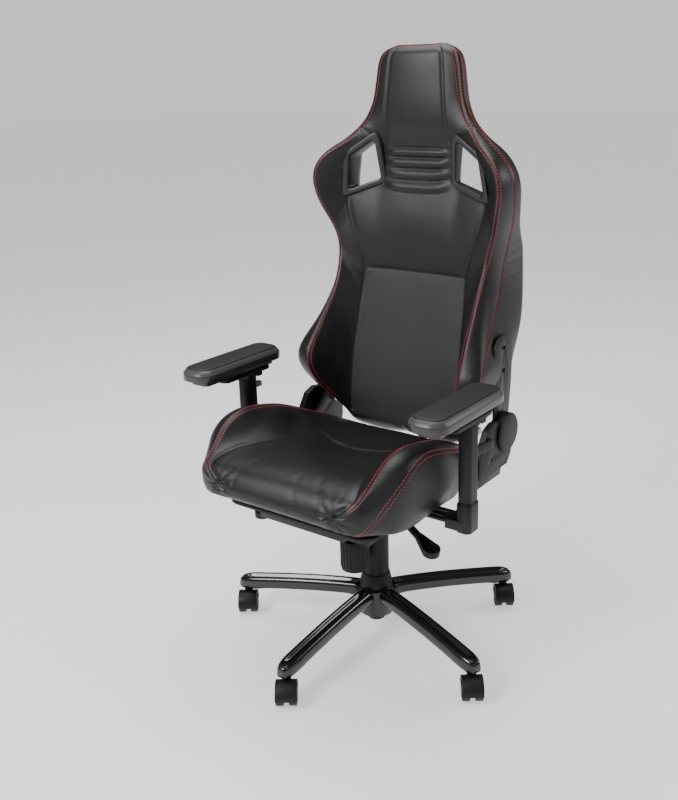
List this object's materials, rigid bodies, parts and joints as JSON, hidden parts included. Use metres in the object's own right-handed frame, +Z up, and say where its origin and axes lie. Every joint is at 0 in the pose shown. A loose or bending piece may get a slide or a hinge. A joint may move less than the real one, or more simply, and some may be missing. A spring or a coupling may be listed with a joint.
{
  "type": "racing-style swivel chair",
  "caption": "Racing-style swivel chair with a winged reclining back, bucket seat, adjustable armrests, gas lift and star base on casters.",
  "frame": {"origin": "the point of the floor on the gas lift's axis, with the chair standing on its casters", "axes": "+Z up along the gas lift, -Y the way the chair faces, +X the sitter's left"},
  "size_m": [0.6982, 0.6952, 1.314],
  "materials": {
    "gloss_base": "gloss",
    "black_steel": "satin",
    "bush_nylon": "matte",
    "zinc_steel": "satin",
    "matte_black": "matte",
    "wheel_nylon": "matte",
    "plywood": "matte",
    "black_leather": "satin",
    "rim_grey": "satin",
    "release_grey": "satin",
    "soft_pad": "matte"
  },
  "bodies": {
    "base": {"star_base": "gloss_base", "standpipe": "black_steel", "guide_bush": "bush_nylon", "thrust_bearing": "zinc_steel", "cover_bottom": "matte_black"},
    "spindle": {"piston_rod": "zinc_steel", "rod_clip": "zinc_steel"},
    "cover_middle": {"cover_middle": "matte_black"},
    "carrier": {"gas_cylinder": "black_steel", "cover_top": "matte_black", "tilt_housing": "black_steel", "tilt_shaft": "zinc_steel", "tension_spring": "zinc_steel"},
    "knob": {"tension_knob": "matte_black"},
    "height_lever": {"height_lever": "matte_black"},
    "lock_lever": {"lock_lever": "matte_black"},
    "seat": {"seat_plate": "black_steel", "seat_frame": "black_steel", "seat_pan": "plywood", "seat_bolts": "zinc_steel", "seat_cushion": "black_leather", "hinge_plate_left": "black_steel", "hinge_plate_right": "black_steel", "recline_pin_left": "zinc_steel", "recline_pin_right": "zinc_steel", "hinge_cover_left": "matte_black", "hinge_cover_right": "matte_black", "recline_cap_left": "matte_black", "recline_cap_right": "matte_black", "arm_post_left": "black_steel", "arm_post_right": "black_steel"},
    "recline_lever": {"recline_lever": "matte_black"},
    "back": {"back_plate_left": "black_steel", "back_plate_right": "black_steel", "back_frame": "black_steel", "back_cushion": "black_leather", "back_bezel_left": "matte_black", "back_bezel_right": "matte_black"},
    "armrest_left": {"arm_sleeve_left": "matte_black"},
    "release_left": {"arm_release_left": "release_grey"},
    "rail_left": {"arm_rail_left": "matte_black"},
    "turntable_left": {"arm_turntable_left": "matte_black"},
    "pad_left": {"arm_rim_left": "rim_grey", "arm_pad_left": "soft_pad"},
    "armrest_right": {"arm_sleeve_right": "matte_black"},
    "release_right": {"arm_release_right": "release_grey"},
    "rail_right": {"arm_rail_right": "matte_black"},
    "turntable_right": {"arm_turntable_right": "matte_black"},
    "pad_right": {"arm_rim_right": "rim_grey", "arm_pad_right": "soft_pad"},
    "caster_1": {"caster_hood_1": "matte_black"},
    "wheels_1": {"caster_wheels_1": "wheel_nylon"},
    "caster_2": {"caster_hood_2": "matte_black"},
    "wheels_2": {"caster_wheels_2": "wheel_nylon"},
    "caster_3": {"caster_hood_3": "matte_black"},
    "wheels_3": {"caster_wheels_3": "wheel_nylon"},
    "caster_4": {"caster_hood_4": "matte_black"},
    "wheels_4": {"caster_wheels_4": "wheel_nylon"},
    "caster_5": {"caster_hood_5": "matte_black"},
    "wheels_5": {"caster_wheels_5": "wheel_nylon"}
  },
  "joints": [
    {"name": "seat_swivel", "type": "hinge", "parent": "base", "child": "spindle", "pos_m": [0, 0, 0.04], "axis": [0, 0, 1], "continuous": true},
    {"name": "seat_lift", "type": "slide", "parent": "spindle", "child": "carrier", "axis": [0, 0, 1], "range_m": [0, 0.08]},
    {"name": "cover_slide", "type": "slide", "parent": "base", "child": "cover_middle", "axis": [0, 0, 1], "range_m": [0, 0.04]},
    {"name": "seat_tilt", "type": "hinge", "parent": "carrier", "child": "seat", "pos_m": [0, -0.06, 0.34], "axis": [-1, 0, 0], "range_deg": [0, 12], "stiffness_Nm_per_rad": 220, "springref_deg": -17.19},
    {"name": "back_recline", "type": "hinge", "parent": "seat", "child": "back", "pos_m": [0, 0.155, 0.497], "axis": [-1, 0, 0], "range_deg": [0, 70]},
    {"name": "recline_release", "type": "hinge", "parent": "seat", "child": "recline_lever", "pos_m": [0.256, 0.07, 0.496], "axis": [-1, 0, 0], "range_deg": [0, 20], "stiffness_Nm_per_rad": 1, "springref_deg": -8.59},
    {"name": "height_release", "type": "hinge", "parent": "carrier", "child": "height_lever", "pos_m": [0.052, -0.02, 0.331], "axis": [0, -1, 0], "range_deg": [0, 5], "stiffness_Nm_per_rad": 3, "springref_deg": -5.73},
    {"name": "tilt_lock", "type": "slide", "parent": "carrier", "child": "lock_lever", "axis": [-1, 0, 0], "range_m": [0, 0.012]},
    {"name": "tension_turn", "type": "hinge", "parent": "carrier", "child": "knob", "pos_m": [0, -0.08, 0.25], "axis": [0, 0, 1], "range_deg": [0, 1080]},
    {"name": "armrest_lift_left", "type": "slide", "parent": "seat", "child": "armrest_left", "axis": [0, 0, 1], "range_m": [0, 0.07]},
    {"name": "armrest_side_left", "type": "slide", "parent": "armrest_left", "child": "rail_left", "axis": [1, 0, 0], "range_m": [0, 0.02]},
    {"name": "armrest_turn_left", "type": "hinge", "parent": "rail_left", "child": "turntable_left", "pos_m": [0.291, -0.085, 0.615], "axis": [0, 0, 1], "range_deg": [-20, 4]},
    {"name": "pad_slide_left", "type": "slide", "parent": "turntable_left", "child": "pad_left", "axis": [0, -1, 0], "range_m": [0, 0.03]},
    {"name": "armrest_release_left", "type": "slide", "parent": "armrest_left", "child": "release_left", "axis": [0, 0, 1], "range_m": [0, 0.004], "stiffness_N_per_m": 200, "springref_m": -0.002},
    {"name": "armrest_lift_right", "type": "slide", "parent": "seat", "child": "armrest_right", "axis": [0, 0, 1], "range_m": [0, 0.07]},
    {"name": "armrest_side_right", "type": "slide", "parent": "armrest_right", "child": "rail_right", "axis": [-1, 0, 0], "range_m": [0, 0.02]},
    {"name": "armrest_turn_right", "type": "hinge", "parent": "rail_right", "child": "turntable_right", "pos_m": [-0.291, -0.085, 0.615], "axis": [0, 0, -1], "range_deg": [-20, 4]},
    {"name": "pad_slide_right", "type": "slide", "parent": "turntable_right", "child": "pad_right", "axis": [0, -1, 0], "range_m": [0, 0.03]},
    {"name": "armrest_release_right", "type": "slide", "parent": "armrest_right", "child": "release_right", "axis": [0, 0, 1], "range_m": [0, 0.004], "stiffness_N_per_m": 200, "springref_m": -0.002},
    {"name": "caster_swivel_1", "type": "hinge", "parent": "base", "child": "caster_1", "pos_m": [0, -0.33, 0.06], "axis": [0, 0, 1], "continuous": true},
    {"name": "caster_swivel_2", "type": "hinge", "parent": "base", "child": "caster_2", "pos_m": [0.31385, -0.10198, 0.06], "axis": [0, 0, 1], "continuous": true},
    {"name": "caster_swivel_3", "type": "hinge", "parent": "base", "child": "caster_3", "pos_m": [0.19397, 0.26698, 0.06], "axis": [0, 0, 1], "continuous": true},
    {"name": "caster_swivel_4", "type": "hinge", "parent": "base", "child": "caster_4", "pos_m": [-0.19397, 0.26698, 0.06], "axis": [0, 0, 1], "continuous": true},
    {"name": "caster_swivel_5", "type": "hinge", "parent": "base", "child": "caster_5", "pos_m": [-0.31385, -0.10198, 0.06], "axis": [0, 0, 1], "continuous": true},
    {"name": "wheel_spin_1", "type": "hinge", "parent": "caster_1", "child": "wheels_1", "pos_m": [0.01058, -0.34456, 0.025], "axis": [0.809, 0.5878, 0], "continuous": true},
    {"name": "wheel_spin_2", "type": "hinge", "parent": "caster_2", "child": "wheels_2", "pos_m": [0.32443, -0.11654, 0.025], "axis": [0.809, 0.5878, 0], "continuous": true},
    {"name": "wheel_spin_3", "type": "hinge", "parent": "caster_3", "child": "wheels_3", "pos_m": [0.20455, 0.25241, 0.025], "axis": [0.809, 0.5878, 0], "continuous": true},
    {"name": "wheel_spin_4", "type": "hinge", "parent": "caster_4", "child": "wheels_4", "pos_m": [-0.18339, 0.25241, 0.025], "axis": [0.809, 0.5878, 0], "continuous": true},
    {"name": "wheel_spin_5", "type": "hinge", "parent": "caster_5", "child": "wheels_5", "pos_m": [-0.30327, -0.11654, 0.025], "axis": [0.809, 0.5878, 0], "continuous": true}
  ],
  "couplings": [
    {"joint": "cover_slide", "follows": "seat_lift", "ratio": 0.5}
  ]
}
